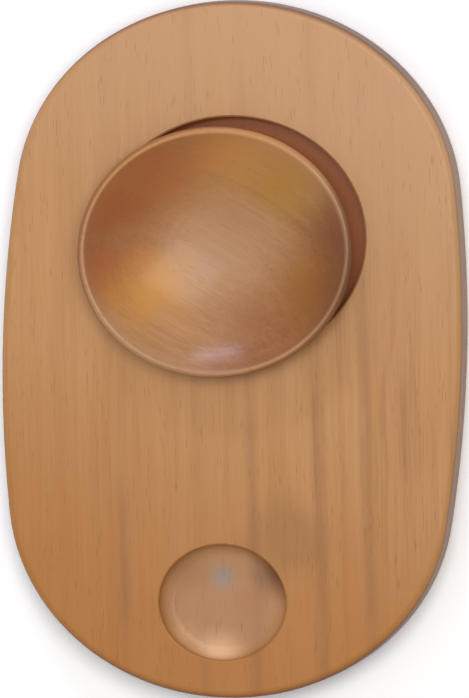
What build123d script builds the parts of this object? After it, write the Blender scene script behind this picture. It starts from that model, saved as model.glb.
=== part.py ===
from build123d import *
from math import atan2, cos, degrees, hypot, radians, sin, sqrt
import os

# Oblong wooden offering plate: a board glued up from lengthwise staves, with a seat that holds a
# loose bowl and a smaller dish sunk near the other end. The board's ends, the seat, the bowl and
# the dish are all drawn round and then pressed along the board into ovals of one proportion.
# Millimetres. X runs across the board, +Y towards the bowl's end, +Z up. The origin is the
# middle of the underside.

oval_ratio = 0.9            # length of every oval along the board over its width across it

# ---- board ---------------------------------------------------------------------------------
board_length = 299.0
board_width = 200.0
board_thickness = 18.0
side_swell = 4.2            # how much narrower the ends' ovals are than the board, each side
edge_round = 3.0            # round-over of the upper and lower edges
glue_lines = (-49.1, -15.2, 7.5, 37.1, 58.0)    # where two staves meet, at half the length
glue_slant = 3.0            # the panel was cut this many degrees askew to its staves

# ---- bowl, measured up from the bottom of its own foot; diameters are across the board ------
bowl_height = 25.0
rim_diameter = 119.6
lip_thickness = 4.4         # the lip is a full round of this thickness
foot_diameter = 60.0
foot_edge = 0.8             # small bevel round the foot
wall_bulge = 1.5            # how far the outer wall bows out between the foot and the lip
bowl_floor = 5.5            # thickness of wood in the middle of the bowl
foot_hollow = 1.0           # the underside inside the foot is cut back by this much
foot_ring_width = 7.0
bowl_turn = 6.0             # how far the bowl's oval has turned in its seat, in degrees

# ---- seat that the bowl lies in -------------------------------------------------------------
seat_depth = 12.0
seat_play = 9.9             # free space at the bowl's sides when it lies in the middle
seat_margin = 49.2          # wood between the seat and the end of the board
seat_offset = -0.1          # across the board
seat_corner = 2.0           # round between the seat's wall and its floor
seat_bevel = 0.8            # small bevel round the seat's upper edge
floor_gap = 0.3             # the foot's clearance over the floor of the seat
side_clearance = 0.75       # what is left beside the bowl where it has slid to one side
slide_direction = 229.0     # which way the bowl has slid, in degrees from +X

# ---- small dish -----------------------------------------------------------------------------
dish_diameter = 55.4
dish_depth = 7.0
dish_cove = 6.0             # radius of the hollow between its wall and its floor
dish_margin = 16.2          # wood between the dish and the end of the board
dish_offset = -1.0          # across the board
dish_lip = 0.8              # eased upper edge of the dish
dish_wall = 0.2             # least straight wall left between the cove and the eased edge


def arc_centre(first, middle, last):
    """Centre and radius of the circle through three points in a plane."""
    (ax, ay), (bx, by), (cx, cy) = first, middle, last
    twice_area = 2 * (ax * (by - cy) + bx * (cy - ay) + cx * (ay - by))
    a2, b2, c2 = ax * ax + ay * ay, bx * bx + by * by, cx * cx + cy * cy
    x = (a2 * (by - cy) + b2 * (cy - ay) + c2 * (ay - by)) / twice_area
    y = (a2 * (cx - bx) + b2 * (ax - cx) + c2 * (bx - ax)) / twice_area
    return x, y, hypot(ax - x, ay - y)


def outline_face(length, width, end_radius):
    """Oblong outline: an oval end at each end of two long sides that bow out very slightly."""
    half_length, half_width = length / 2 / oval_ratio, width / 2
    side_radius = (
        (half_length**2 + half_width**2 - 2 * half_length * end_radius)
        / (2 * (half_width - end_radius))
    )
    end_centre = half_length - end_radius
    side_centre = side_radius - half_width
    join = degrees(atan2(end_centre, side_centre))
    arcs = (
        (-side_centre, 0, side_radius, -join, 2 * join),
        (0, end_centre, end_radius, join, 180 - 2 * join),
        (side_centre, 0, side_radius, 180 - join, 2 * join),
        (0, -end_centre, end_radius, 180 + join, 180 - 2 * join),
    )
    return make_face([
        EllipticalCenterArc((x, y * oval_ratio), r, r * oval_ratio, start, arc_size=size)
        for x, y, r, start, size in arcs
    ])


def turned(*edges):
    """Solid of revolution about Z, pressed to an oval; the edges are drawn as (radius, height)."""
    return scale(revolve(Plane.XZ * make_face(edges), Axis.Z), by=(1, oval_ratio, 1))


# The bowl's outer wall is one arc from the foot to the outside of the lip.
lip_radius = lip_thickness / 2
lip_height = bowl_height - lip_radius
rim_radius = rim_diameter / 2
foot_radius = foot_diameter / 2
wall_run, wall_rise = rim_radius - foot_radius, lip_height - foot_edge
wall_length = hypot(wall_run, wall_rise)
wall_middle = (
    (foot_radius + rim_radius) / 2 + wall_bulge * wall_rise / wall_length,
    (foot_edge + lip_height) / 2 - wall_bulge * wall_run / wall_length,
)
wall_x, wall_z, wall_radius = arc_centre(
    (foot_radius, foot_edge), wall_middle, (rim_radius, lip_height)
)


def outer_radius(height):
    """Radius of the bowl's outer wall at a height over its foot."""
    return wall_x + sqrt(wall_radius**2 - (height - wall_z) ** 2)


# The seat follows from the bowl: wide enough for its wall at the height of the board's face. The
# radii are those across the board; along it they are shorter by the oval's ratio.
seat_floor = board_thickness - seat_depth
bowl_base = seat_floor + floor_gap
face_over_foot = min(board_thickness - bowl_base, lip_height)
seat_radius = outer_radius(face_over_foot) + seat_play
seat_centre = (seat_offset, board_length / 2 - seat_margin - seat_radius * oval_ratio)
slide = seat_play - side_clearance
bowl_centre = (
    seat_centre[0] + slide * cos(radians(slide_direction)),
    seat_centre[1] + slide * sin(radians(slide_direction)) * oval_ratio,
)
dish_radius = dish_diameter / 2
dish_centre = (dish_offset, -board_length / 2 + dish_margin + dish_radius * oval_ratio)


def seat_cutter():
    """Oval pocket with a flat floor, a rounded corner and a bevelled upper edge."""
    r, top, low = seat_radius, board_thickness, seat_floor
    return turned(
        Line((0, low), (r - seat_corner, low)),
        CenterArc((r - seat_corner, low + seat_corner), seat_corner, -90, 90),
        Polyline(
            (r, low + seat_corner), (r, top - seat_bevel), (r + seat_bevel, top),
            (r + seat_bevel, top + 1), (0, top + 1), (0, low),
        ),
    )


def dish_cutter():
    """Shallow oval dish: flat floor, coved wall and an eased upper edge."""
    r, top = dish_radius, board_thickness
    low = top - dish_depth
    cove = min(dish_cove, dish_depth - dish_lip - dish_wall)
    return turned(
        Line((0, low), (r - cove, low)),
        CenterArc((r - cove, low + cove), cove, -90, 90),
        Line((r, low + cove), (r, top - dish_lip)),
        CenterArc((r + dish_lip, top - dish_lip), dish_lip, 180, -90),
        Polyline((r + dish_lip, top), (r + dish_lip, top + 1), (0, top + 1), (0, low)),
    )


def whole_board():
    """The glued-up board with its rounded edges, the seat and the small dish."""
    outline = outline_face(board_length, board_width, board_width / 2 - side_swell)
    board = extrude(outline, board_thickness)
    rims = board.edges().group_by(Axis.Z)
    board = fillet(rims[0] + rims[-1], edge_round)
    board -= Pos(*seat_centre, 0) * seat_cutter()
    board -= Pos(*dish_centre, 0) * dish_cutter()
    return board


def stave(board, left, right):
    """The part of the board between two glue lines, which lean a little to -X towards +Y."""
    slab = Box((right - left) * cos(radians(glue_slant)), board_length * 1.2, board_thickness + 2)
    return board & Pos((left + right) / 2, 0, board_thickness / 2) * Rot(0, 0, glue_slant) * slab


def bowl():
    """Shallow oval bowl with a full-round lip and a foot ring, standing on Z = 0."""
    inner_rim = rim_radius - lip_thickness
    ring_inside = foot_radius - foot_ring_width
    inner_rise = lip_height - bowl_floor
    inner_radius = (inner_rim**2 + inner_rise**2) / (2 * inner_rise)
    half_way = inner_rim / 2
    half_height = bowl_floor + inner_radius - sqrt(inner_radius**2 - half_way**2)
    return turned(
        Polyline(
            (0, foot_hollow), (ring_inside - foot_hollow, foot_hollow), (ring_inside, 0),
            (foot_radius - foot_edge, 0), (foot_radius, foot_edge),
        ),
        ThreePointArc((foot_radius, foot_edge), wall_middle, (rim_radius, lip_height)),
        CenterArc((rim_radius - lip_radius, lip_height), lip_radius, 0, 180),
        ThreePointArc((inner_rim, lip_height), (half_way, half_height), (0, bowl_floor)),
        Line((0, bowl_floor), (0, foot_hollow)),
    )


def save(shape, node):
    """Write one sub-part."""
    shape.label = node
    export_step(shape, f"parts/{node}.step")


os.makedirs("parts", exist_ok=True)

board = whole_board()
outside = board_width / 2 + board_length * sin(radians(glue_slant))
edges_across = (-outside, *glue_lines, outside)
for number, (left, right) in enumerate(zip(edges_across, edges_across[1:]), 1):
    save(stave(board, left, right), f"board_stave_{number}")

save(Pos(*bowl_centre, bowl_base) * Rot(0, 0, bowl_turn) * bowl(), "bowl")

print("seat radius", round(seat_radius, 2), "centre", [round(v, 2) for v in seat_centre])
print("bowl centre", [round(v, 2) for v in bowl_centre], "dish centre", dish_centre)
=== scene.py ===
import bmesh
import bpy
import math
from mathutils import Matrix, Vector


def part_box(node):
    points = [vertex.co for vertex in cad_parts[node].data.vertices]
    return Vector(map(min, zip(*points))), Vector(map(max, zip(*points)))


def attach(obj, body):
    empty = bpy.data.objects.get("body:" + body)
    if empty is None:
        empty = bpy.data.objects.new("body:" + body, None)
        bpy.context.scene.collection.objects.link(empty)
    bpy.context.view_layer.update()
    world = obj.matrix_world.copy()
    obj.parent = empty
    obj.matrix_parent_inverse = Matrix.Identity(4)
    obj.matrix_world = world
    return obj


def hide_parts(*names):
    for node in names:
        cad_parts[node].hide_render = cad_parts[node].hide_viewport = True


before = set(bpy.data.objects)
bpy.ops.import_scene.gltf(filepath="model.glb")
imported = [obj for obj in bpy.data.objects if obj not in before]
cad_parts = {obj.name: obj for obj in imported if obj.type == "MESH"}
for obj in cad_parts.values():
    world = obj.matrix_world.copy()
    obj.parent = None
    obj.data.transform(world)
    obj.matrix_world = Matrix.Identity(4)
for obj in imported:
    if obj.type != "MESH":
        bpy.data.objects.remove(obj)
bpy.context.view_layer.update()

scene = bpy.context.scene
staveNames = sorted(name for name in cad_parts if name.startswith("board_stave"))
boardTop = max(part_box(name)[1].z for name in staveNames)
bowlLow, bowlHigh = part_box("bowl")
bowlAxis = Vector(((bowlLow.x + bowlHigh.x) / 2, (bowlLow.y + bowlHigh.y) / 2, bowlLow.z))


# node helpers
def addNode(tree, kind, **settings):
    node = tree.nodes.new(kind)
    for key, value in settings.items():
        setattr(node, key, value)
    return node


def wire(tree, value, socket):
    # value is another node's output, or a plain number, vector or colour
    if isinstance(value, bpy.types.NodeSocket):
        tree.links.new(value, socket)
    else:
        socket.default_value = value


def maths(tree, operation, *values):
    node = addNode(tree, "ShaderNodeMath", operation=operation)
    for value, socket in zip(values, node.inputs):
        wire(tree, value, socket)
    return node.outputs[0]


def vectorMaths(tree, operation, *values):
    node = addNode(tree, "ShaderNodeVectorMath", operation=operation)
    for value, socket in zip(values, node.inputs):
        wire(tree, value, socket)
    return node.outputs["Value" if operation in ("DOT_PRODUCT", "LENGTH", "DISTANCE") else "Vector"]


def remap(tree, value, low, high, newLow=0.0, newHigh=1.0):
    # a soft step from newLow to newHigh as the value goes from low to high
    node = addNode(tree, "ShaderNodeMapRange", interpolation_type="SMOOTHSTEP")
    for given, label in ((value, "Value"), (low, "From Min"), (high, "From Max"),
                         (newLow, "To Min"), (newHigh, "To Max")):
        wire(tree, given, node.inputs[label])
    return node.outputs["Result"]


def mixColour(tree, factor, first, second, blend="MIX"):
    node = addNode(tree, "ShaderNodeMix", data_type="RGBA", blend_type=blend, clamp_factor=True)
    wire(tree, factor, node.inputs["Factor"])
    wire(tree, first, node.inputs[6])
    wire(tree, second, node.inputs[7])
    return node.outputs[2]


def noise(tree, vector, scale=1.0, detail=2.0, rough=0.5, dimensions="3D"):
    node = addNode(tree, "ShaderNodeTexNoise", noise_dimensions=dimensions)
    wire(tree, vector, node.inputs["W" if dimensions == "1D" else "Vector"])
    for label, value in (("Scale", scale), ("Detail", detail), ("Roughness", rough)):
        wire(tree, value, node.inputs[label])
    return node.outputs["Fac"]


def stretched(tree, vector, factors):
    node = addNode(tree, "ShaderNodeVectorMath", operation="MULTIPLY")
    wire(tree, vector, node.inputs[0])
    node.inputs[1].default_value = factors
    return node.outputs[0]


def parts(tree, vector):
    # the vector's X, Y and Z by name
    node = addNode(tree, "ShaderNodeSeparateXYZ")
    wire(tree, vector, node.inputs[0])
    return node.outputs


def ragged(tree, pattern, amount):
    # a pattern of 0 to 1 made an offset to either side
    return maths(tree, "MULTIPLY", maths(tree, "SUBTRACT", pattern, 0.5), amount)


def flatDistance(tree, place, x, y):
    return vectorMaths(tree, "DISTANCE", stretched(tree, place, (1, 1, 0)), (x, y, 0.0))


def paintSpots(tree, base, place, spots, offset, middle=(0.0, 0.0), within=1.0):
    # soft spots of tone; each has its place from the middle, its reach, its depth and its tone
    for (x, y), spread, depth, tone in spots:
        apart = maths(tree, "ADD", flatDistance(tree, place, middle[0] + x, middle[1] + y), offset)
        mask = maths(tree, "MULTIPLY", remap(tree, apart, spread, 0.0, 0.0, depth), within)
        base = mixColour(tree, mask, base, tone)
    return base


def newGroup(name, inputs, outputs):
    group = bpy.data.node_groups.new(name, "ShaderNodeTree")
    kinds = {"number": "NodeSocketFloat", "vector": "NodeSocketVector"}
    for label, kind, value in inputs:
        group.interface.new_socket(label, in_out="INPUT", socket_type=kinds[kind]).default_value = value
    for label, kind in outputs:
        group.interface.new_socket(label, in_out="OUTPUT", socket_type=kinds[kind])
    return group, group.nodes.new("NodeGroupInput").outputs, group.nodes.new("NodeGroupOutput").inputs


def colour(red, green, blue):
    # display values from 0 to 255 as a linear colour
    def linear(value):
        value /= 255
        return value / 12.92 if value <= 0.04045 else ((value + 0.055) / 1.055) ** 2.4
    return (linear(red), linear(green), linear(blue), 1.0)


# effects that several woods share
grainPattern = {   # features per metre across, along and across the grain
    "sway": (22, 5, 22), "streaks": (260, 5.5, 260), "fibres": (1500, 26, 1500),
    "poreCells": (1500, 110, 1500), "poreBeds": (500, 40, 500), "mottle": (26, 9, 26),
    "seedStep": (0.37, 0.53, 0.71), "lateSharpness": 2.6, "lateEnd": 0.93, "faintestYear": 0.25,
    "poreEdge": 0.34, "poreHeart": 0.16, "bedFrom": 0.50, "bedTo": 0.62,
}


def makeGrainGroup():
    # Growth rings round a pith that runs along the vector's Y, with fibres and pores along them
    group, given, made = newGroup(
        "wood grain",
        [("Vector", "vector", (0, 0, 0)), ("Ring Width", "number", 0.005), ("Waver", "number", 0.004),
         ("Seed", "number", 0.0)],
        [("Rings", "number"), ("Streaks", "number"), ("Fibres", "number"), ("Pores", "number"),
         ("Mottle", "number")],
    )
    look = grainPattern
    seedStep = addNode(group, "ShaderNodeCombineXYZ")
    for k, step in enumerate(look["seedStep"]):
        wire(group, maths(group, "MULTIPLY", given["Seed"], step), seedStep.inputs[k])
    place = vectorMaths(group, "ADD", given["Vector"], seedStep.outputs[0])
    # the rings waver slowly along the tree and faster across it
    sway = addNode(group, "ShaderNodeTexNoise", noise_dimensions="3D")
    wire(group, stretched(group, place, look["sway"]), sway.inputs["Vector"])
    sway.inputs["Scale"].default_value = 1.0
    sway.inputs["Detail"].default_value = 3.0
    pull = addNode(group, "ShaderNodeVectorMath", operation="SCALE")
    wire(group, vectorMaths(group, "SUBTRACT", sway.outputs["Color"], (0.5, 0.5, 0.5)), pull.inputs[0])
    wire(group, given["Waver"], pull.inputs["Scale"])
    bent = vectorMaths(group, "ADD", given["Vector"], pull.outputs[0])
    fromPith = vectorMaths(group, "LENGTH", stretched(group, bent, (1, 0, 1)))
    phase = maths(group, "DIVIDE", fromPith, given["Ring Width"])
    # each year darkens slowly and ends at once, and some years are stronger
    within = maths(group, "FRACT", phase)
    late = maths(group, "MULTIPLY", maths(group, "POWER", within, look["lateSharpness"]),
                 remap(group, within, 1.0, look["lateEnd"]))
    year = addNode(group, "ShaderNodeTexWhiteNoise", noise_dimensions="1D")
    wire(group, maths(group, "ADD", maths(group, "FLOOR", phase), given["Seed"]), year.inputs["W"])
    faintest = look["faintestYear"]
    strength = maths(group, "MULTIPLY_ADD", year.outputs["Value"], 1 - faintest, faintest)
    wire(group, maths(group, "MULTIPLY", late, strength), made["Rings"])
    # long streaks, fine fibres and slow mottling, with pores in beds
    for label, key, detail, rough in (("Streaks", "streaks", 3.0, 0.6), ("Fibres", "fibres", 2.0, 0.55),
                                      ("Mottle", "mottle", 3.0, 0.55)):
        wire(group, noise(group, stretched(group, place, look[key]), 1.0, detail, rough), made[label])
    cell = addNode(group, "ShaderNodeTexVoronoi", feature="F1")
    wire(group, stretched(group, place, look["poreCells"]), cell.inputs["Vector"])
    cell.inputs["Scale"].default_value = 1.0
    beds = remap(group, noise(group, stretched(group, place, look["poreBeds"])), look["bedFrom"], look["bedTo"])
    pore = remap(group, cell.outputs["Distance"], look["poreEdge"], look["poreHeart"])
    wire(group, maths(group, "MULTIPLY", pore, beds), made["Pores"])
    return group


easePattern = {   # how level a surface may be, and how patchy the wear is
    "steepFrom": 0.10, "steepTo": 0.45, "levelFrom": 0.985, "levelTo": 0.80,
    "patchScale": 140.0, "patchFrom": 0.35, "patchTo": 0.65, "patchLeast": 0.4,
}


def makeEaseGroup():
    # How far a surface is neither level nor upright: the rounded edges, coves and lips
    group, given, made = newGroup(
        "eased edge",
        [("Normal", "vector", (0, 0, 1)), ("Vector", "vector", (0, 0, 0))],
        [("Edge", "number")],
    )
    rise = maths(group, "ABSOLUTE", parts(group, given["Normal"])["Z"])
    look = easePattern
    eased = maths(group, "MULTIPLY", remap(group, rise, look["steepFrom"], look["steepTo"]),
                  remap(group, rise, look["levelFrom"], look["levelTo"]))
    patchy = remap(group, noise(group, given["Vector"], look["patchScale"], 3.0, 0.6),
                   look["patchFrom"], look["patchTo"], look["patchLeast"], 1.0)
    wire(group, maths(group, "MULTIPLY", eased, patchy), made["Edge"])
    return group


grainGroup = makeGrainGroup()
easeGroup = makeEaseGroup()
print("shared effects ready")


def woodMaterial(name, look):
    # sets up a wood's grain and ground colour, for its maker to add to and finishWood to finish
    material = bpy.data.materials.new(name)
    material.use_nodes = True
    tree = material.node_tree
    shader = next(n for n in tree.nodes if n.type == "BSDF_PRINCIPLED")
    coords = addNode(tree, "ShaderNodeTexCoord").outputs["Object"]
    normal = addNode(tree, "ShaderNodeNewGeometry").outputs["Normal"]
    # from the object's own space to the tree that the blank was sawn from
    sawn = addNode(tree, "ShaderNodeMapping", vector_type="TEXTURE")
    sawn.inputs["Location"].default_value = look["pith"]
    sawn.inputs["Rotation"].default_value = [math.radians(a) for a in look["lean"]]
    tree.links.new(coords, sawn.inputs["Vector"])
    grain = addNode(tree, "ShaderNodeGroup", node_tree=grainGroup)
    wire(tree, sawn.outputs[0], grain.inputs["Vector"])
    for label, key in (("Ring Width", "ringWidth"), ("Waver", "waver"), ("Seed", "seed")):
        grain.inputs[label].default_value = look[key]
    out = grain.outputs
    # light ground, darker late wood and streaks
    tone = maths(tree, "MULTIPLY", out["Rings"], look["ringDepth"])
    for label, key in (("Streaks", "streakDepth"), ("Fibres", "fibreDepth"), ("Mottle", "mottleDepth")):
        tone = maths(tree, "ADD", ragged(tree, out[label], look[key]), tone)
    tone = maths(tree, "ADD", tone, look["tone"])
    ramp = addNode(tree, "ShaderNodeValToRGB")
    ramp.color_ramp.elements[0].color = look["light"]
    ramp.color_ramp.elements[1].color = look["dark"]
    middle = ramp.color_ramp.elements.new(0.5)
    middle.color = look["middle"]
    wire(tree, tone, ramp.inputs["Fac"])
    return material, tree, shader, coords, normal, out, ramp.outputs["Color"]


lacquer = {   # shares of the grain in the finished surface
    "sideFrom": 0.75, "sideTo": 0.15, "edgeRough": 0.06, "poreRough": 0.2,
    "poreHeight": -0.8, "fibreHeight": 0.5, "streakHeight": 0.8, "coatIor": 1.45,
}


def finishWood(tree, shader, coords, normal, out, base, look, extraHeight=None, outside=1.0):
    # pores, eased edges, painted shade on upright sides, end grain and lacquer; outside is 0 where a hollow
    # keeps its own tone
    base = mixColour(tree, maths(tree, "MULTIPLY", out["Pores"], look["poreDepth"]), base, look["pore"])
    ease = addNode(tree, "ShaderNodeGroup", node_tree=easeGroup)
    wire(tree, normal, ease.inputs["Normal"])
    wire(tree, coords, ease.inputs["Vector"])
    edge = ease.outputs["Edge"]
    base = mixColour(tree, maths(tree, "MULTIPLY", edge, look["edgeLight"]), base, look["light"])
    rise = maths(tree, "ABSOLUTE", parts(tree, normal)["Z"])
    along = maths(tree, "ABSOLUTE", vectorMaths(tree, "DOT_PRODUCT", normal, look["fibreWay"]))
    # upright sides get a greyer, darker tint as painted shade; the end grain gets its own darker tone
    for turned, start, stop, kind in ((rise, lacquer["sideFrom"], lacquer["sideTo"], "side"),
                                      (along, look["endFrom"], look["endTo"], "end")):
        mask = maths(tree, "MULTIPLY", remap(tree, turned, start, stop), outside)
        mask = maths(tree, "MULTIPLY", mask, look[kind + "Depth"])
        base = mixColour(tree, mask, base, look[kind + "Tint"], "MULTIPLY")
    wire(tree, base, shader.inputs["Base Color"])
    rough = maths(tree, "MULTIPLY_ADD", out["Fibres"], look["roughSpread"], look["rough"])
    rough = maths(tree, "MULTIPLY_ADD", edge, lacquer["edgeRough"], rough)
    rough = maths(tree, "MULTIPLY_ADD", out["Pores"], lacquer["poreRough"], rough)
    wire(tree, rough, shader.inputs["Roughness"])
    height = maths(tree, "MULTIPLY", out["Fibres"], lacquer["fibreHeight"])
    height = maths(tree, "MULTIPLY_ADD", out["Pores"], lacquer["poreHeight"], height)
    height = maths(tree, "MULTIPLY_ADD", out["Streaks"], lacquer["streakHeight"], height)
    if extraHeight is not None:
        height = maths(tree, "ADD", height, extraHeight)
    bump = addNode(tree, "ShaderNodeBump")
    bump.inputs["Strength"].default_value = look["bumpStrength"]
    bump.inputs["Distance"].default_value = look["bumpDepth"]
    wire(tree, height, bump.inputs["Height"])
    wire(tree, bump.outputs["Normal"], shader.inputs["Normal"])
    shader.inputs["Coat Weight"].default_value = look["coat"]
    shader.inputs["Coat Roughness"].default_value = look["coatRough"]
    shader.inputs["Coat IOR"].default_value = lacquer["coatIor"]
    shader.inputs["Specular IOR Level"].default_value = look["specular"]


# The board's staves: one wood, a different piece of it for each
boardWood = {
    "light": colour(188, 138, 86), "middle": colour(175, 123, 71), "dark": colour(136, 84, 42),
    # the side tint and depth paint shade on the board's upright sides; the end tint is the end grain's own tone
    "pore": colour(112, 66, 34), "endTint": colour(178, 150, 122), "sideTint": colour(176, 164, 150),
    "ringWidth": 0.0085, "waver": 0.014, "ringDepth": 0.22, "streakDepth": 0.75, "fibreDepth": 0.50,
    "mottleDepth": 0.95, "poreDepth": 0.26, "edgeLight": 0.10, "sideDepth": 0.9,
    "fibreWay": (-0.052, 1.0, 0.0), "endFrom": 0.30, "endTo": 0.85, "endDepth": 0.8,
    "rough": 0.38, "roughSpread": 0.14, "bumpStrength": 0.35, "bumpDepth": 0.0002,
    "coat": 0.12, "coatRough": 0.28, "specular": 0.32,
    # painted light and shade along the board: paler towards the bowl's end, darker and warmer towards the
    # dish's end
    "litPale": colour(187, 142, 100), "litPaleFrom": 0.0, "litPaleTo": 0.15, "litPaleDepth": 0.85,
    "shadedWarm": colour(163, 99, 28), "shadedWarmFrom": 0.0, "shadedWarmTo": -0.14, "shadedWarmDepth": 0.72, "shadedWarmSlant": 0.30,
    "driftSpread": 0.16,
    # a painted reflection on the face beside the dish
    "reflectionPatch": colour(134, 92, 50), "reflectionPatchPlace": (0.026, -0.080), "reflectionPatchReach": 0.023, "reflectionPatchHeart": 0.006,
    "reflectionPatchSpread": 0.03, "reflectionPatchDepth": 0.40,
    "glueLines": (-0.0491, -0.0152, 0.0075, 0.0371, 0.0580), "glueSlant": 3.0,   # as the board was cut
    "glueWidth": 0.0008, "glueDepth": 0.30, "shadeWidth": 0.0045, "shadeDepth": 0.30,
    "gluePatches": (30, 16, 30), "breakFrom": 0.38, "breakTo": 0.62, "glueLeast": 0.15,
    "fadeFrom": -0.02, "fadeTo": 0.06, "fadeLeast": 0.30, "hollowRim": 0.0002,
    # the seat's tone is painted shade in the hollow round the bowl
    "seatTone": colour(160, 84, 40), "seatReach": 0.078, "seatDepth": 0.0125, "seatFade": 0.0030,
    "seatShade": 0.85,
    "dishTone": colour(172, 132, 98), "dishReach": 0.036, "dishDepth": 0.0075, "dishFade": 0.0060,
    "dishShade": 0.55, "dishPlace": (-0.0010, -0.1084), "dishLightSpread": 0.006,
    "dishPaintedLight": (    # painted shade, painted highlights and a painted reflection in the dish: place from the dish's middle, reach, depth and tone
        ((0.0245, 0.0145), 0.0175, 0.90, colour(104, 62, 34)),
        ((-0.0030, -0.0255), 0.0170, 0.85, colour(228, 184, 140)),
        ((-0.0180, -0.0180), 0.0130, 0.50, colour(206, 160, 114)),
        ((-0.0015, 0.0105), 0.0085, 0.80, colour(146, 132, 126)),
        ((0.0120, 0.0010), 0.0110, 0.40, colour(166, 108, 72)),
        ((-0.0180, 0.0140), 0.0150, 0.50, colour(144, 98, 58)),
    ),
}
staveLooks = [   # where the pith lay, how the stave leans to it, and how dark it is
    {"pith": (-0.110, 0.0, -0.075), "lean": (0.8, 0.0, 2.8), "tone": 0.26},
    {"pith": (-0.020, 0.0, -0.052), "lean": (-1.4, 0.0, 2.4), "tone": 0.24},
    {"pith": (0.045, 0.0, -0.060), "lean": (0.6, 0.0, 3.3), "tone": 0.22},
    {"pith": (-0.030, 0.0, 0.085), "lean": (1.2, 0.0, 2.6), "tone": 0.24},
    {"pith": (0.120, 0.0, -0.040), "lean": (-0.9, 0.0, 3.1), "tone": 0.30},
    {"pith": (0.020, 0.0, -0.090), "lean": (1.0, 0.0, 2.7), "tone": 0.36},
]


def glueJoints(tree, look, coords, place, base, lines):
    # a dark line where two staves meet, broken in places, and a soft shade beside it
    slope = math.tan(math.radians(look["glueSlant"]))
    across = maths(tree, "MULTIPLY_ADD", place["Y"], slope, place["X"])
    fade = remap(tree, place["Y"], look["fadeFrom"], look["fadeTo"], 1.0, look["fadeLeast"])
    breaks = noise(tree, stretched(tree, coords, look["gluePatches"]))
    uneven = remap(tree, breaks, look["breakFrom"], look["breakTo"], look["glueLeast"], 1.0)
    strength = maths(tree, "MULTIPLY", uneven, fade)
    for line in lines:
        away = maths(tree, "ABSOLUTE", maths(tree, "SUBTRACT", across, line))
        fine, soft = (
            maths(tree, "MULTIPLY", remap(tree, away, look[kind + "Width"], 0.0), look[kind + "Depth"])
            for kind in ("glue", "shade")
        )
        mask = maths(tree, "MULTIPLY", maths(tree, "MAXIMUM", fine, soft), strength)
        base = mixColour(tree, mask, base, look["pore"])
    return base


def hollowTone(tree, look, part, middle, coords, under, base):
    # tones a hollow in the face, as painted shade in the seat; gives its masks, soft and sharp, too
    near = maths(tree, "LESS_THAN", flatDistance(tree, coords, *middle), look[part + "Reach"])
    within = maths(tree, "MULTIPLY", near, maths(tree, "LESS_THAN", under, look[part + "Depth"]))
    sunk = maths(tree, "MULTIPLY", remap(tree, under, look["hollowRim"], look[part + "Fade"]), within)
    base = mixColour(tree, maths(tree, "MULTIPLY", sunk, look[part + "Shade"]), base, look[part + "Tone"])
    return base, sunk, within


def staveMaterial(number, own):
    look = dict(boardWood, **own, seed=float(number))
    material, tree, shader, coords, normal, out, base = woodMaterial(f"stave wood {number}", look)
    # painted light and shade along the board: paler towards the bowl's end, darker and warmer towards the
    # dish's end
    place = parts(tree, coords)
    drift = maths(tree, "ADD", ragged(tree, out["Mottle"], look["driftSpread"]), place["Y"])
    drift = maths(tree, "MULTIPLY_ADD", place["X"], look["shadedWarmSlant"], drift)
    for end in ("litPale", "shadedWarm"):
        mask = remap(tree, drift, look[end + "From"], look[end + "To"], 0.0, look[end + "Depth"])
        base = mixColour(tree, mask, base, look[end])
    # a painted reflection: a darker, greyer patch on the face beside the dish
    reach = maths(tree, "ADD", flatDistance(tree, coords, *look["reflectionPatchPlace"]),
                  ragged(tree, out["Mottle"], look["reflectionPatchSpread"]))
    upper = remap(tree, place["Z"], boardTop / 2, boardTop, 0.0, look["reflectionPatchDepth"])
    reflectionMask = maths(tree, "MULTIPLY", remap(tree, reach, look["reflectionPatchReach"], look["reflectionPatchHeart"]), upper)
    base = mixColour(tree, reflectionMask, base, look["reflectionPatch"])
    lines = look["glueLines"]
    beside = [lines[k] for k in (number - 2, number - 1) if 0 <= k < len(lines)]
    base = glueJoints(tree, look, coords, place, base, beside)
    # painted shade makes the seat darker than the face; the dish is greyer, with painted shade, painted
    # highlights and a painted reflection on its walls and floor
    under = maths(tree, "SUBTRACT", boardTop, place["Z"])
    base, _, seat = hollowTone(tree, look, "seat", bowlAxis.xy, coords, under, base)
    base, inDish, dish = hollowTone(tree, look, "dish", look["dishPlace"], coords, under, base)
    # painted shade on the dish's upper walls, painted highlights on its lower walls and a painted bluish
    # reflection on its floor
    base = paintSpots(tree, base, coords, look["dishPaintedLight"], ragged(tree, out["Mottle"], look["dishLightSpread"]),
                      look["dishPlace"], inDish)
    outside = maths(tree, "SUBTRACT", 1.0, maths(tree, "MAXIMUM", seat, dish))
    finishWood(tree, shader, coords, normal, out, base, look, outside=outside)
    return material


for number, (name, own) in enumerate(zip(staveNames, staveLooks), 1):
    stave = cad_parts[name]
    stave.material_slots[0].material = staveMaterial(number, own)
print("board ready:", len(staveNames), "staves")


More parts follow.
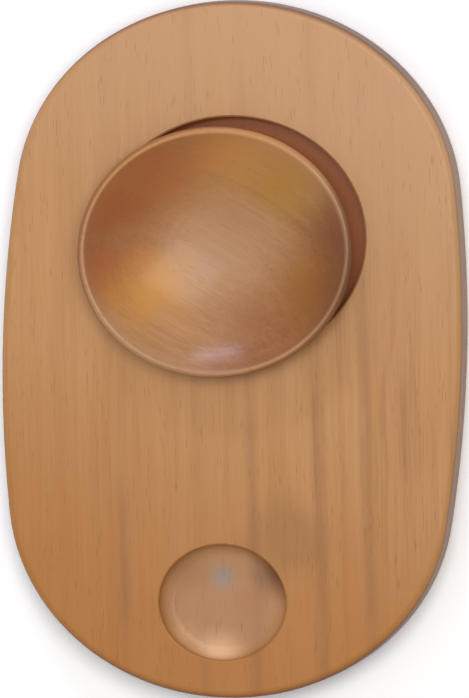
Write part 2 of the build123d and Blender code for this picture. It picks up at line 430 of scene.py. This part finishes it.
bowlShape = {   # metres; heights are over the foot, and radii are across the board
    "ovalRatio": 0.9, "turn": 6.0,
    "lipThickness": 0.0044, "footRadius": 0.030, "footEdge": 0.0008, "wallBulge": 0.0015,
    "floorThickness": 0.0055, "footHollow": 0.0010, "footRing": 0.0070,
    "wallSteps": 34, "lipSteps": 14, "hollowSteps": 96, "segments": 288,
    "seamGap": 0.000005, "doubleGap": 0.000004,
    "rippleDepth": 0.000035, "rippleSpacing": 0.0021, "seed": 4.0,
}
bowlWood = {
    "light": colour(178, 130, 84), "middle": colour(160, 112, 66), "dark": colour(124, 76, 38),
    "pore": colour(104, 60, 30), "endTint": colour(205, 168, 128), "sideTint": colour(255, 255, 255),
    "sideDepth": 0.0,
    "pith": (0.0, 0.0, -0.075), "lean": (0.0, 6.0, 62.0), "tone": 0.30, "seed": 11.0,
    "ringWidth": 0.0080, "waver": 0.026, "ringDepth": 0.22, "streakDepth": 0.95, "fibreDepth": 0.8,
    "mottleDepth": 0.70, "poreDepth": 0.25, "edgeLight": 0.0,
    "fibreWay": (-0.88, 0.47, 0.0), "endFrom": 0.10, "endTo": 0.55, "endDepth": 0.75,
    "rough": 0.42, "roughSpread": 0.12, "bumpStrength": 0.3, "bumpDepth": 0.00015,
    "coat": 0.35, "coatRough": 0.19, "specular": 0.32,
    # the paler middle is a painted sheen
    "litPale": colour(172, 130, 92), "litPaleReach": 0.80, "litPaleDepth": 0.6,
    "lip": colour(168, 122, 84), "lipFrom": 0.86, "lipTo": 0.96, "lipDepth": 0.6,
    # painted shade darkens the rim's right side; painted light brightens its far side
    "shadedSide": colour(112, 70, 40), "shadedSideWay": (0.95, -0.10, 0.0), "shadedSideFrom": 0.60, "shadedSideTo": 1.0,
    "shadedSideDepth": 0.75, "litSide": colour(184, 126, 66), "litSideWay": (-0.25, 0.95, 0.0), "litSideFrom": 0.15,
    "litSideTo": 0.85, "litSideDepth": 0.6, "patchSpread": 0.55, "patchScale": (3.2, 3.2, 0),
    "sandingRings": 2600.0, "sandingHeight": 0.5,
    "patches": (    # place in the bowl as shares of its radii, reach, depth and tone
        ((-0.68, 0.36), 0.46, 0.80, colour(164, 94, 36)),
        ((-0.42, 0.66), 0.40, 0.75, colour(170, 100, 40)),
        ((-0.80, -0.15), 0.38, 0.75, colour(172, 100, 44)),
        ((-0.50, -0.30), 0.46, 0.90, colour(190, 128, 44)),
        ((0.06, 0.84), 0.44, 0.75, colour(190, 128, 56)),
        ((0.48, 0.58), 0.46, 0.80, colour(166, 120, 40)),
        ((0.70, -0.28), 0.46, 0.80, colour(162, 112, 36)),
        ((0.84, 0.22), 0.36, 0.65, colour(142, 90, 52)),
        ((0.22, -0.52), 0.34, 0.50, colour(158, 106, 60)),
        ((-0.24, 0.20), 0.34, 0.45, colour(184, 134, 92)),
    ),
}


def arcThrough(first, middle, last, steps):
    # points on the circle through three points, without the first
    (ax, ay), (bx, by), (cx, cy) = first, middle, last
    double = 2 * (ax * (by - cy) + bx * (cy - ay) + cx * (ay - by))
    squares = [x * x + y * y for x, y in (first, middle, last)]
    x = (squares[0] * (by - cy) + squares[1] * (cy - ay) + squares[2] * (ay - by)) / double
    y = (squares[0] * (cx - bx) + squares[1] * (ax - cx) + squares[2] * (bx - ax)) / double
    radius = math.hypot(ax - x, ay - y)
    angles = [math.atan2(py - y, px - x) for px, py in (first, middle, last)]
    way = 1 if double > 0 else -1
    sweep = (way * (angles[2] - angles[0])) % (2 * math.pi)
    turns = [angles[0] + way * sweep * k / steps for k in range(1, steps + 1)]
    return [(x + radius * math.cos(a), y + radius * math.sin(a)) for a in turns]


def bowlProfile(shape, rimRadius, height):
    # radius and height along the section, from the middle of the underside to the middle of the hollow
    lip = shape["lipThickness"] / 2
    lipHeight, foot, edge = height - lip, shape["footRadius"], shape["footEdge"]
    run, rise = rimRadius - foot, lipHeight - edge
    length = math.hypot(run, rise)
    ringInside = foot - shape["footRing"]
    wallMiddle = ((foot + rimRadius) / 2 + shape["wallBulge"] * rise / length,
                  (edge + lipHeight) / 2 - shape["wallBulge"] * run / length)
    # the hollow is one arc that runs into the lip's round without a crease
    lipCentre, depth = rimRadius - lip, lipHeight - shape["floorThickness"]
    hollowRadius = (lipCentre**2 + depth**2 - lip**2) / (2 * (depth + lip))
    share = hollowRadius / (hollowRadius + lip)
    inner = lipCentre * share
    innerHeight = shape["floorThickness"] + hollowRadius - (hollowRadius - depth) * share
    halfWay = (inner / 2, shape["floorThickness"] + hollowRadius - math.sqrt(hollowRadius**2 - inner**2 / 4))
    points = [(0.0, shape["footHollow"]), (ringInside * 0.5, shape["footHollow"]),
              (ringInside - shape["footHollow"], shape["footHollow"]), (ringInside, 0.0),
              (foot - edge, 0.0), (foot, edge)]
    points += arcThrough((foot, edge), wallMiddle, (rimRadius, lipHeight), shape["wallSteps"])
    points += arcThrough((rimRadius, lipHeight), (lipCentre, height), (inner, innerHeight), shape["lipSteps"])
    points += arcThrough((inner, innerHeight), halfWay, (0.0, shape["floorThickness"]), shape["hollowSteps"])
    points[-1] = (0.0, shape["floorThickness"])   # exactly on the axis
    return points


def makeSpinTree():
    # Spins a section round Z, welds the seams, adds fine tool ripples and presses the round to an oval
    tree = bpy.data.node_groups.new("spun piece", "GeometryNodeTree")
    tree.interface.new_socket("Geometry", in_out="OUTPUT", socket_type="NodeSocketGeometry")
    for label, kind, value in (
        ("Section", "Object", None), ("Segments", "Int", 128), ("Spin Radius", "Float", 0.05),
        ("Weld", "Float", 0.000005), ("Ripple Depth", "Float", 0.00003), ("Ripple Spacing", "Float", 0.002),
        ("Seed", "Float", 0.0), ("Oval", "Vector", (1, 1, 1)), ("Turn", "Vector", (0, 0, 0)),
        ("Place", "Vector", (0, 0, 0)), ("Wood", "Material", None),
    ):
        socket = tree.interface.new_socket(label, in_out="INPUT", socket_type="NodeSocket" + kind)
        if value is not None:
            socket.default_value = value
    given = tree.nodes.new("NodeGroupInput").outputs
    section = addNode(tree, "GeometryNodeObjectInfo", transform_space="ORIGINAL")
    wire(tree, given["Section"], section.inputs["Object"])
    # a swept section's X points away from the axis and its Y points down
    spot = parts(tree, tree.nodes.new("GeometryNodeInputPosition").outputs[0])
    laid = addNode(tree, "ShaderNodeCombineXYZ")
    wire(tree, maths(tree, "SUBTRACT", spot["X"], given["Spin Radius"]), laid.inputs["X"])
    wire(tree, maths(tree, "MULTIPLY", spot["Z"], -1.0), laid.inputs["Y"])
    layDown = tree.nodes.new("GeometryNodeSetPosition")
    wire(tree, section.outputs["Geometry"], layDown.inputs["Geometry"])
    wire(tree, laid.outputs[0], layDown.inputs["Position"])
    circle = tree.nodes.new("GeometryNodeCurvePrimitiveCircle")
    wire(tree, given["Segments"], circle.inputs["Resolution"])
    wire(tree, given["Spin Radius"], circle.inputs["Radius"])
    spin = tree.nodes.new("GeometryNodeCurveToMesh")
    wire(tree, circle.outputs[0], spin.inputs["Curve"])
    wire(tree, layDown.outputs[0], spin.inputs["Profile Curve"])
    weld = tree.nodes.new("GeometryNodeMergeByDistance")
    wire(tree, spin.outputs[0], weld.inputs["Geometry"])
    wire(tree, given["Weld"], weld.inputs["Distance"])
    # ripples left by the gouge, cut inwards only
    flat = stretched(tree, tree.nodes.new("GeometryNodeInputPosition").outputs[0], (1, 1, 0))
    away = maths(tree, "DIVIDE", vectorMaths(tree, "LENGTH", flat), given["Ripple Spacing"])
    ripple = noise(tree, maths(tree, "ADD", away, given["Seed"]), 1.0, 1.0, 0.4, "1D")
    cut = maths(tree, "MULTIPLY", ripple, given["Ripple Depth"])   # the swept faces still point inwards here
    push = addNode(tree, "ShaderNodeVectorMath", operation="SCALE")
    wire(tree, tree.nodes.new("GeometryNodeInputNormal").outputs[0], push.inputs[0])
    wire(tree, cut, push.inputs["Scale"])
    shape = tree.nodes.new("GeometryNodeSetPosition")
    wire(tree, weld.outputs[0], shape.inputs["Geometry"])
    wire(tree, push.outputs[0], shape.inputs["Offset"])
    move = tree.nodes.new("GeometryNodeTransform")
    wire(tree, shape.outputs[0], move.inputs["Geometry"])
    for label, socket in (("Oval", "Scale"), ("Turn", "Rotation"), ("Place", "Translation")):
        wire(tree, given[label], move.inputs[socket])
    smooth = tree.nodes.new("GeometryNodeSetShadeSmooth")
    wire(tree, move.outputs[0], smooth.inputs["Geometry"])
    real = tree.nodes.new("GeometryNodeRealizeInstances")
    wire(tree, smooth.outputs[0], real.inputs["Geometry"])
    coat = tree.nodes.new("GeometryNodeSetMaterial")
    wire(tree, real.outputs[0], coat.inputs["Geometry"])
    wire(tree, given["Wood"], coat.inputs["Material"])
    wire(tree, coat.outputs[0], tree.nodes.new("NodeGroupOutput").inputs[0])
    return tree


def sectionCurve(name, points):
    data = bpy.data.curves.new(name, "CURVE")
    data.dimensions = "3D"
    spline = data.splines.new("POLY")
    spline.points.add(len(points) - 1)
    for point, (radius, height) in zip(spline.points, points):
        point.co = (radius, 0.0, height, 1.0)
    curve = bpy.data.objects.new(name, data)
    scene.collection.objects.link(curve)
    return curve


def builtByNodes(name, tree, values):
    # runs a node tree on an empty mesh and keeps the result as a plain mesh at the origin
    holder = bpy.data.objects.new(name + "_holder", bpy.data.meshes.new(name + "_holder"))
    scene.collection.objects.link(holder)
    modifier = holder.modifiers.new("build", "NODES")
    modifier.node_group = tree
    for item in tree.interface.items_tree:
        if item.in_out == "INPUT" and item.name in values:
            modifier[item.identifier] = values[item.name]
    bpy.context.view_layer.update()
    made = holder.evaluated_get(bpy.context.evaluated_depsgraph_get())
    mesh = bpy.data.meshes.new_from_object(made)
    mesh.name = name
    piece = bpy.data.objects.new(name, mesh)
    scene.collection.objects.link(piece)
    bpy.data.objects.remove(holder)
    return piece


def faceOutwards(piece, gap):
    # merges what still lies double and turns every face to the outside
    work = bmesh.new()
    work.from_mesh(piece.data)
    bmesh.ops.remove_doubles(work, verts=work.verts, dist=gap)
    bmesh.ops.recalc_face_normals(work, faces=work.faces)
    work.to_mesh(piece.data)
    work.free()


def bowlMaterial():
    look = dict(bowlWood)
    look["pith"] = (bowlAxis.x, bowlAxis.y, look["pith"][2])
    material, tree, shader, coords, normal, out, base = woodMaterial("bowl wood", look)
    ratio, rimReach = bowlShape["ovalRatio"], (bowlHigh.x - bowlLow.x) / 2
    centred = vectorMaths(tree, "SUBTRACT", coords, tuple(bowlAxis))
    away = vectorMaths(tree, "LENGTH", stretched(tree, centred, (1, 1 / ratio, 0)))
    reach = maths(tree, "DIVIDE", away, rimReach)
    outwards = vectorMaths(tree, "DIVIDE", centred, (rimReach, rimReach * ratio, rimReach))
    # a paler, greyer middle as a painted sheen, golden and reddish patches in the hollow, and a lip of its own
    # tone
    litPale = remap(tree, reach, look["litPaleReach"], 0.0, 0.0, look["litPaleDepth"])
    base = mixColour(tree, litPale, base, look["litPale"])
    blot = noise(tree, stretched(tree, outwards, look["patchScale"]), 1.0, 4.0, 0.6)
    base = paintSpots(tree, base, outwards, look["patches"], ragged(tree, blot, look["patchSpread"]))
    lip = remap(tree, reach, look["lipFrom"], look["lipTo"], 0.0, look["lipDepth"])
    base = mixColour(tree, lip, base, look["lip"])
    # painted light towards one side of the rim and painted shade on another
    for tint in ("litSide", "shadedSide"):
        turned = vectorMaths(tree, "DOT_PRODUCT", outwards, look[tint + "Way"])
        mask = remap(tree, turned, look[tint + "From"], look[tint + "To"], 0.0, look[tint + "Depth"])
        base = mixColour(tree, mask, base, look[tint])
    # fine rings left by sanding round the hollow
    rings = noise(tree, maths(tree, "MULTIPLY", away, look["sandingRings"]), dimensions="1D")
    sanded = maths(tree, "MULTIPLY", rings, look["sandingHeight"])
    finishWood(tree, shader, coords, normal, out, base, look, sanded)
    return material


def makeBowl():
    ratio, turn = bowlShape["ovalRatio"], math.radians(bowlShape["turn"])
    halfWidth = math.hypot(math.cos(turn), ratio * math.sin(turn))   # of the turned oval, for a radius of 1
    rimRadius, height = (bowlHigh.x - bowlLow.x) / 2 / halfWidth, bowlHigh.z - bowlLow.z
    section = sectionCurve("bowl_section", bowlProfile(bowlShape, rimRadius, height))
    bowl = builtByNodes("oval_bowl", makeSpinTree(), {
        "Section": section, "Segments": bowlShape["segments"], "Spin Radius": rimRadius,
        "Weld": bowlShape["seamGap"], "Ripple Depth": bowlShape["rippleDepth"],
        "Ripple Spacing": bowlShape["rippleSpacing"], "Seed": bowlShape["seed"], "Oval": (1.0, ratio, 1.0),
        "Turn": (0.0, 0.0, turn), "Place": tuple(bowlAxis), "Wood": bowlMaterial(),
    })
    bpy.data.objects.remove(section)
    faceOutwards(bowl, bowlShape["doubleGap"])
    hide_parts("bowl")
    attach(bowl, "bowl")
    return bowl


bowl = makeBowl()
print("bowl ready:", len(bowl.data.polygons), "faces")


# floor, light and camera
studio = {
    "floor": colour(252, 252, 252), "floorGlow": 0.05, "floorRough": 0.9, "floorShine": 0.1,
    "floorHalf": 4.0, "floorGap": 0.0002,   # the gap keeps the floor clear of the board's underside
    "world": (0.97, 0.985, 1.0, 1.0), "worldPower": 0.50,
    "tilt": 11.0, "bearing": 22.0, "roll": 1.45, "distance": 9.0, "seenHeight": 0.29944,
    "aim": (-0.0017, -0.0006, 0.0), "sensor": 36.0, "farthest": 100.0,
}
lamps = [   # bearing and height in degrees, distance, width and depth in metres, watts, tint
    {"name": "key", "bearing": 56, "height": 74, "away": 1.6, "size": (0.9, 0.9), "power": 13.5,
     "tint": (1.0, 0.98, 0.945)},
    {"name": "window", "bearing": 104, "height": 25, "away": 1.8, "size": (0.62, 0.18), "power": 7.0,
     "tint": (0.68, 0.66, 1.0)},
    {"name": "fill", "bearing": 215, "height": 70, "away": 1.6, "size": (1.2, 1.2), "power": 2.5,
     "tint": (1.0, 1.0, 1.0)},
]


def direction(bearing, height):
    # a unit vector, from a bearing and a height over the floor in degrees
    bearing, height = math.radians(bearing), math.radians(height)
    level = math.cos(height)
    return Vector((math.cos(bearing) * level, math.sin(bearing) * level, math.sin(height)))


def makeLamp(lamp):
    way = direction(lamp["bearing"], lamp["height"])
    data = bpy.data.lights.new(lamp["name"], "AREA")
    data.shape = "RECTANGLE"
    data.size, data.size_y = lamp["size"]
    data.energy = lamp["power"]
    data.color = lamp["tint"]
    light = bpy.data.objects.new(lamp["name"], data)
    light.location = way * lamp["away"]
    light.rotation_euler = way.to_track_quat("Z", "Y").to_euler()
    scene.collection.objects.link(light)


def makeFloor():
    mesh = bpy.data.meshes.new("floor")
    half, level = studio["floorHalf"], -studio["floorGap"]
    corners = [(-half, -half, level), (half, -half, level), (half, half, level), (-half, half, level)]
    mesh.from_pydata(corners, [], [(0, 1, 2, 3)])
    material = bpy.data.materials.new("pale floor")
    material.use_nodes = True
    shader = next(n for n in material.node_tree.nodes if n.type == "BSDF_PRINCIPLED")
    shader.inputs["Base Color"].default_value = studio["floor"]
    shader.inputs["Roughness"].default_value = studio["floorRough"]
    shader.inputs["Specular IOR Level"].default_value = studio["floorShine"]
    shader.inputs["Emission Color"].default_value = studio["floor"]
    shader.inputs["Emission Strength"].default_value = studio["floorGlow"]
    mesh.materials.append(material)
    floor = bpy.data.objects.new("floor", mesh)
    scene.collection.objects.link(floor)


def makeCamera():
    back = direction(studio["bearing"], 90 - studio["tilt"])
    # the board's length stays upright in the view, but for a small roll
    along = Matrix.Rotation(math.radians(studio["roll"]), 3, back) @ Vector((0, 1, 0))
    up = (along - back * along.dot(back)).normalized()
    right = up.cross(back)
    data = bpy.data.cameras.new("camera")
    data.sensor_width = studio["sensor"]
    data.lens = data.sensor_width * studio["distance"] / studio["seenHeight"]
    data.clip_end = studio["farthest"]
    camera = bpy.data.objects.new("camera", data)
    turned = Matrix((right, up, back)).transposed().to_4x4()
    camera.matrix_world = Matrix.Translation(Vector(studio["aim"]) + back * studio["distance"]) @ turned
    scene.collection.objects.link(camera)
    scene.camera = camera


world = bpy.data.worlds.new("studio")
world.use_nodes = True
world.node_tree.nodes["Background"].inputs["Color"].default_value = studio["world"]
world.node_tree.nodes["Background"].inputs["Strength"].default_value = studio["worldPower"]
scene.world = world
scene.view_settings.view_transform = "Standard"
makeFloor()
for lamp in lamps:
    makeLamp(lamp)
makeCamera()
print("studio ready")
